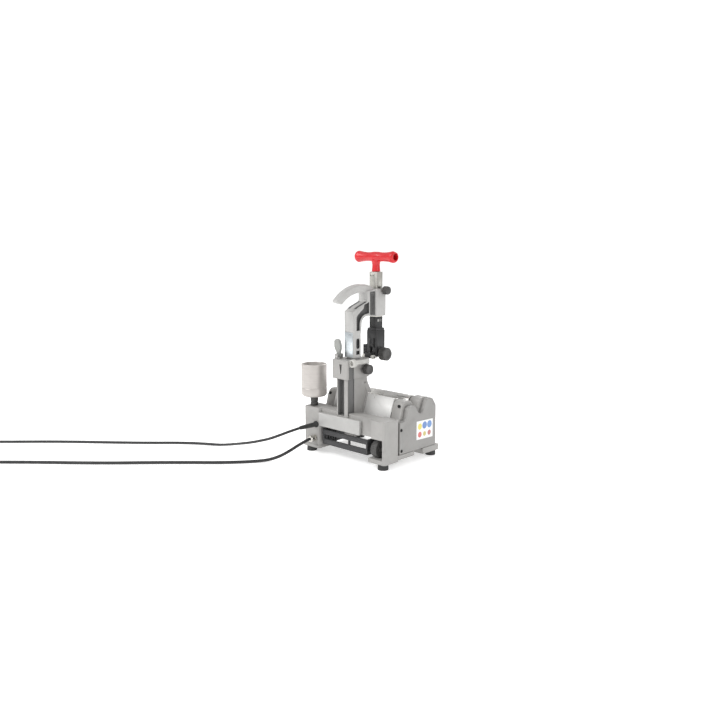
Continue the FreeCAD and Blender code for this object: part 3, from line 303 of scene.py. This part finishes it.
# Painted shade: the column's and clamp head's slots are darkened where shade falls in them.
COLUMN_FRONT_SLOT_SHADE = ((-23.5, -97.3, 117), (2, -83, 216), (0.12, 0.12, 0.118))
COLUMN_SIDE_SLOT_SHADE = ((9, -96.5, 117), (12.7, -72.5, 214.2), (0.14, 0.14, 0.138))
HEAD_SIDE_SLOT_SHADE = ((12, -96.5, 214.2), (15.7, -76.5, 247), (0.14, 0.14, 0.138))
HEAD_V_MARK = ((-14, -101.6, 226), (-2, -96.8, 254), (0.16, 0.16, 0.155))
# Painted shade: the arm's pockets and holes on both sides are darkened, the holes nearly black.
ARM_BAND_SHADE = both_sides((2.5, -12.8, 369), (11.7, 8.3, 437.5), (0.12, 0.12, 0.118))
ARM_POCKET_SHADE = both_sides((3.5, -64, 337), (11.7, -15, 411), (0.08, 0.08, 0.08))
ARM_HOLE_SHADE = both_sides((5.5, -66, 274), (11.7, -50, 319), (0.04, 0.04, 0.04))
# Painted light: the chute plate gets a much lighter copy of the pale plate paint, for the light on its
# upturned face.
CHUTE_PAINTED_LIGHT = (*box_round("chute_plate", CHUTE_MARGIN), (0.74, 0.735, 0.72))
# Painted highlights: a bright and a dim glint on the side of the black tool adapter.
ADAPTER_PAINTED_HIGHLIGHT = ((7.5, 21, 355.5), (9.5, 27.5, 361.5), (0.45, 0.45, 0.43))
ADAPTER_DIM_PAINTED_HIGHLIGHT = ((7.5, 30.5, 355.5), (9.5, 36.5, 361.5), (0.20, 0.20, 0.19))

# ---------------------------------------------------------------- finishes, one for each material slot
FINISH = {
    "casting": painted("cast_enamel", (0.345, 0.337, 0.325), 0.40,
                       zones=[COLUMN_FRONT_SLOT_SHADE, COLUMN_SIDE_SLOT_SHADE, HEAD_SIDE_SLOT_SHADE, HEAD_V_MARK]),
    "arm_light": painted("pale_cast_enamel", (0.45, 0.446, 0.435), 0.38,
                         zones=ARM_BAND_SHADE + ARM_POCKET_SHADE + ARM_HOLE_SHADE),
    "cover": painted("cover_enamel", (0.295, 0.289, 0.28), 0.42, grain=0.00007, cast=0.00006),
    "light_plate": painted("pale_enamel", (0.44, 0.436, 0.424), 0.40, grain=0.00005, cast=0.00004,
                           zones=[CHUTE_PAINTED_LIGHT]),
    "dark_frame": painted("dark_enamel", (0.036, 0.036, 0.038), 0.45, wear_and_highlight=0.35, bare=(0.16, 0.16, 0.16)),
    "barrel": painted("barrel_enamel", (0.50, 0.495, 0.47), 0.36, cast=0.00003),
    "motor_case": painted("motor_enamel", (0.025, 0.025, 0.027), 0.5, wear_and_highlight=0.2, bare=(0.2, 0.2, 0.2)),
    # Blackened steel: strong painted highlights on its edges and two painted highlights on the adapter.
    "tool_black": painted("blackened_steel", (0.022, 0.022, 0.023), 0.36, grain=0.00004, cast=0.00003,
                          wear_and_highlight=0.6, bare=(0.30, 0.29, 0.27), edge_highlight_and_wear_tone=6.0,
                          zones=[ADAPTER_PAINTED_HIGHLIGHT, ADAPTER_DIM_PAINTED_HIGHLIGHT]),
    "bar_steel": steel("drawn_bar", (0.55, 0.54, 0.50), 0.42, scale=(900, 900, 30), depth=0.00001,
                       stain=0.05),
    "steel": steel("ground_steel", (0.60, 0.59, 0.57), 0.30, stain=0.10),
    "bright_strip": steel("polished_strip", (0.70, 0.75, 0.78), 0.32, scale=(1500, 30, 30), depth=0.000012,
                          stain=0.05),
    "gears": steel("oiled_steel", (0.30, 0.30, 0.30), 0.3, stain=0.5),
    "nickel": steel("nickel_plate", (0.66, 0.64, 0.60), 0.2, scale=(900, 60, 900), stain=0.15),
    "screw_black": steel("black_oxide", (0.035, 0.035, 0.036), 0.36, scale=(400, 400, 400)),
    "lever_grey": moulded("lever_grey", (0.30, 0.305, 0.29), 0.42, edge_highlight_and_wear_tone=1.3),
    # Charcoal knobs: their light edges are partly a painted highlight.
    "knob_dark": moulded("charcoal_plastic", (0.060, 0.058, 0.056), 0.38, wear_and_highlight=0.55, edge_highlight_and_wear_tone=4.0),
    "guide_white": moulded("nylon", (0.62, 0.61, 0.57), 0.4, edge_highlight_and_wear_tone=1.1),
    "red_grip": moulded("red_gloss", (0.60, 0.008, 0.014), 0.36, grain=0.00002, coat=0.15, wear_and_highlight=0.12,
                        edge_highlight_and_wear_tone=1.25),
    "cup_metal": anodised("satin_aluminium", (0.52, 0.49, 0.465)),
    "sticker": sticker("pale_sticker", *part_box("plain_label")),
    "foot_rubber": rubbery("foot_rubber", (0.022, 0.022, 0.022)),
    "cord_black": rubbery("cord_sheath", (0.018, 0.018, 0.019), 0.5, dust=0.18),
}

# ---------------------------------------------------------------- soft edges
BEVEL = {  # mm, on the edges that the CAD leaves sharp
    "base_casting": 1.0, "right_cover": 0.8, "left_cover": 0.8, "upright_column": 0.7, "clamp_head": 0.9,
    "arm_casting": 1.3, "chute_plate": 0.5, "front_plate": 0.5, "bottom_frame": 0.5, "feed_bar": 0.5,
    "tool_body": 0.6, "tool_adapter": 0.4, "tool_side_block": 0.5, "clamp_lever": 0.6, "t_handle": 0.6,
    "cutting_wheel": 0.0, "plain_label": 0.0, "arm_scale_plate": 0.2, "lead_connector": 0.3,
    "mains_plug": 0.5,
}
USUAL_BEVEL = 0.35          # mm
BEVEL_FROM = math.radians(32)
WELD_DISTANCE = 0.000004


def soften(piece, width):
    """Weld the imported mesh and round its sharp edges; width in mm, 0 to keep them."""
    weld = piece.modifiers.new("weld", "WELD")
    weld.merge_threshold = WELD_DISTANCE
    if not width:
        piece.modifiers.new("flat_faces", "WEIGHTED_NORMAL").keep_sharp = True
        return
    bevel = piece.modifiers.new("soft_edges", "BEVEL")
    bevel.width = width * MM
    bevel.segments = 2
    bevel.limit_method = "ANGLE"
    bevel.angle_limit = BEVEL_FROM
    bevel.harden_normals = True
    bevel.miter_outer = "MITER_ARC"


for entry in frame["record"]["subparts"]:
    part = frame["nodes"][entry["node"]]
    mesh = part.data
    mesh.materials.clear()
    mesh.materials.append(FINISH[entry["material_slot"]])
    mesh.polygons.foreach_set("use_smooth", [True] * len(mesh.polygons))
    soften(part, BEVEL.get(entry["node"], USUAL_BEVEL))

# ---------------------------------------------------------------- cords: routes and coils
MAINS_DIAMETER, LEAD_DIAMETER = 0.0072, 0.0082
MAINS_OUTER, MAINS_INNER = 0.0474, 0.0399       # radii of a coil's two rings
LEAD_OUTER, LEAD_INNER = 0.0533, 0.0447
MAINS_LEVELS = (0.0039, 0.0112, 0.0185)         # heights of a coil's layers
LEAD_LEVELS = (0.0043, 0.0126)
MAINS_START, LEAD_START = -47.7, 133.1          # where a coil begins round its middle, in degrees
MAINS_TURNS, LEAD_TURNS = 4.256, 3.13
CLOCKWISE, ANTICLOCKWISE = -1, 1
POINTS_PER_TURN = 18

MAINS_ROUTE = [
    (-0.099, -0.1635, 0.080), (-0.101, -0.196, 0.077), (-0.107, -0.226, 0.071), (-0.122, -0.248, 0.063),
    (-0.150, -0.259, 0.054), (-0.190, -0.261, 0.042), (-0.240, -0.257, 0.029), (-0.290, -0.252, 0.016),
    (-0.337, -0.252, 0.006), (-0.384, -0.268, 0.0039), (-0.440, -0.308, 0.0039), (-0.505, -0.372, 0.0039),
    (-0.578, -0.436, 0.0039), (-0.655, -0.500, 0.0039), (-0.735, -0.572, 0.0039), (-0.806, -0.644, 0.0039),
    (-0.872, -0.704, 0.0039)]
LEAD_ROUTE = [
    (-0.105, -0.1255, 0.041), (-0.1055, -0.158, 0.034), (-0.107, -0.190, 0.023), (-0.113, -0.219, 0.013),
    (-0.124, -0.245, 0.0065), (-0.140, -0.269, 0.0044), (-0.165, -0.304, 0.0043), (-0.203, -0.348, 0.0043),
    (-0.262, -0.402, 0.0043), (-0.332, -0.470, 0.0043), (-0.402, -0.542, 0.0043), (-0.476, -0.610, 0.0043),
    (-0.548, -0.672, 0.0043), (-0.636, -0.754, 0.0043)]


def winding(outer, inner, levels):
    """A coil's course as (turn, radius, height): outer and inner ring on the floor, then the layers above."""
    floor, second = levels[:2]
    course = [(0.0, outer, floor), (0.85, outer, floor), (1.0, inner, floor), (1.65, inner, floor),
              (1.85, inner, second), (2.45, inner, second), (2.65, outer, second)]
    if len(levels) > 2:
        course += [(3.25, outer, second), (3.45, outer, levels[2])]
    return course


def coil_points(centre, start, way, turns, course):
    """Control points of wound turns, steady between equal entries of the course and after its last one.
    They stand a little outside the true radius, because the smooth curve runs inside them."""
    shrink = math.cos(math.pi / POINTS_PER_TURN)
    points = []
    for n in range(int(turns * POINTS_PER_TURN) + 1):
        turn = n / POINTS_PER_TURN
        before = max(step for step in course if step[0] <= turn)
        after = min((step for step in course if step[0] > turn), default=before)
        share = (turn - before[0]) / max(after[0] - before[0], 1e-6)
        radius = before[1] + (after[1] - before[1]) * share
        height = before[2] + (after[2] - before[2]) * share
        angle = math.radians(start) + way * turn * math.tau
        points.append((centre[0] + radius / shrink * math.cos(angle),
                       centre[1] + radius / shrink * math.sin(angle), height))
    return points


def leave(centre, radius, heading, ahead, height):
    """Point on the line that touches a circle (negative radius: wound clockwise) and leaves along heading."""
    x, y = math.cos(math.radians(heading)), math.sin(math.radians(heading))
    return (centre[0] + y * radius + x * ahead, centre[1] - x * radius + y * ahead, height)


def cord_curve(name, points, diameter):
    """A smooth round cord along control points."""
    curve = bpy.data.curves.new(name, "CURVE")
    curve.dimensions = "3D"
    curve.bevel_depth = diameter / 2
    curve.bevel_resolution = 5
    curve.resolution_u = 6
    curve.use_fill_caps = True
    spline = curve.splines.new("NURBS")
    spline.points.add(len(points) - 1)
    for knot, point in zip(spline.points, points):
        knot.co = (*point, 1.0)
    spline.order_u = 3
    spline.use_endpoint_u = True
    piece = bpy.data.objects.new(name, curve)
    bpy.context.scene.collection.objects.link(piece)
    curve.materials.append(FINISH["cord_black"])
    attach(piece, "base")
    return piece


def middle_of(node):
    low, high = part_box(node)
    return (low + high) / 2


mains_middle, lead_middle = middle_of("mains_coil"), middle_of("lead_coil")
mains_points = MAINS_ROUTE + coil_points(
    mains_middle, MAINS_START, CLOCKWISE, MAINS_TURNS, winding(MAINS_OUTER, MAINS_INNER, MAINS_LEVELS))
mains_points += [leave(mains_middle, -MAINS_OUTER, 130, ahead, height)
                 for ahead, height in ((0.014, 0.0172), (0.0275, 0.0152))]
lead_points = LEAD_ROUTE + coil_points(
    lead_middle, LEAD_START, ANTICLOCKWISE, LEAD_TURNS, winding(LEAD_OUTER, LEAD_INNER, LEAD_LEVELS))
lead_points += [leave(lead_middle, LEAD_OUTER, 270, ahead, height)
                for ahead, height in ((0.015, 0.0116), (0.0305, 0.0107))]
mains_lead = cord_curve("mains_lead", mains_points, MAINS_DIAMETER)
control_lead = cord_curve("control_lead", lead_points, LEAD_DIAMETER)
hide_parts("mains_cord", "mains_coil")
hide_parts("lead_cord", "lead_coil")

# ---------------------------------------------------------------- floor, light, world
FLOOR_HALF = 60


def stage_floor():
    """A wide pale floor that glows a little, so that it meets the background without a line."""
    corners = [(x * FLOOR_HALF, y * FLOOR_HALF, 0) for x, y in ((-1, -1), (1, -1), (1, 1), (-1, 1))]
    sheet = bpy.data.meshes.new("floor")
    sheet.from_pydata(corners, [], [(0, 1, 2, 3)])
    floor = bpy.data.objects.new("floor", sheet)
    bpy.context.scene.collection.objects.link(floor)
    s = Surface("pale_floor")
    s.feed("Base Color", (0.93, 0.93, 0.93, 1))
    s.feed("Roughness", 0.75)
    s.feed("Specular IOR Level", 0.1)
    s.feed("Emission Color", (1, 1, 1, 1))
    s.feed("Emission Strength", 0.45)
    sheet.materials.append(s.material)


def soft_light(name, place, aim, size, power):
    data = bpy.data.lights.new(name, "AREA")
    data.shape = "RECTANGLE"
    data.size, data.size_y = size
    data.energy = power
    lamp = bpy.data.objects.new(name, data)
    bpy.context.scene.collection.objects.link(lamp)
    lamp.location = place
    lamp.rotation_euler = (Vector(aim) - Vector(place)).to_track_quat("-Z", "Y").to_euler()


def studio_world():
    """Light from all round, greyer low down; the camera sees an even white behind the machine instead."""
    world = bpy.data.worlds.new("studio")
    bpy.context.scene.world = world
    world.use_nodes = True
    tree = world.node_tree
    back = tree.nodes["Background"]
    place = tree.nodes.new("ShaderNodeTexCoord")
    parts = tree.nodes.new("ShaderNodeSeparateXYZ")
    ramp = tree.nodes.new("ShaderNodeValToRGB")
    low, high = ramp.color_ramp.elements
    low.position, high.position = 0.0, 0.9
    low.color = (0.62, 0.62, 0.62, 1)
    high.color = (1.0, 1.0, 1.0, 1)
    seen = tree.nodes.new("ShaderNodeLightPath")
    pick = tree.nodes.new("ShaderNodeMix")
    pick.data_type = "RGBA"
    pick.inputs[7].default_value = (1.6, 1.6, 1.6, 1)
    back.inputs["Strength"].default_value = 0.8
    for output, socket in (
            (place.outputs["Generated"], parts.inputs["Vector"]),
            (parts.outputs["Z"], ramp.inputs["Fac"]),
            (seen.outputs["Is Camera Ray"], pick.inputs[0]),
            (ramp.outputs["Color"], pick.inputs[6]),
            (pick.outputs[2], back.inputs["Color"])):
        tree.links.new(output, socket)


stage_floor()
studio_world()
soft_light("key_light", (-1.2, -2.6, 2.6), (0, 0, 0.25), (1.6, 1.6), 62)
soft_light("fill_light", (3.0, -0.6, 1.4), (0, 0, 0.2), (1.4, 1.8), 19)
soft_light("rim_light", (-0.6, 2.6, 2.2), (0, 0, 0.3), (1.8, 1.0), 40)
bpy.context.scene.view_settings.view_transform = "Standard"
